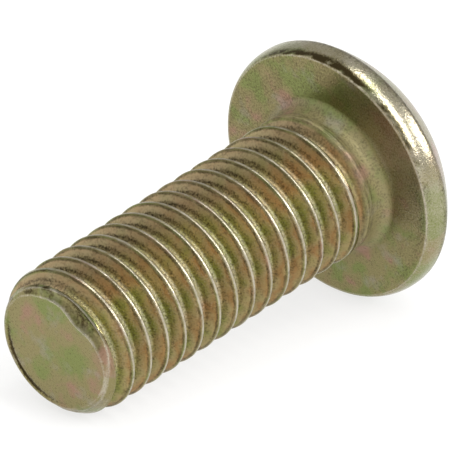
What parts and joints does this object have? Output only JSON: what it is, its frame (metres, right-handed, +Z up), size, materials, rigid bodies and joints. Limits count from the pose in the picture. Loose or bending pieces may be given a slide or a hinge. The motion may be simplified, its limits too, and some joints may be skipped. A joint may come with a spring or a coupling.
{
  "type": "button head machine screw",
  "caption": "Machine screw with a low domed button head, a hexagon socket and a full right-hand thread, plated in yellow zinc, lying on its side.",
  "frame": {"origin": "middle of the lying screw's box, on the floor", "axes": "+X along the lying screw towards the head, with the tip at -X and a little lower, +Z up"},
  "size_m": [0.0248, 0.0136, 0.0136],
  "materials": {
    "yellow_zinc": "steel with a yellow chromate zinc plate, satin, bright along the thread's crests"
  },
  "bodies": {
    "root": {"screw": "yellow_zinc"}
  },
  "joints": []
}
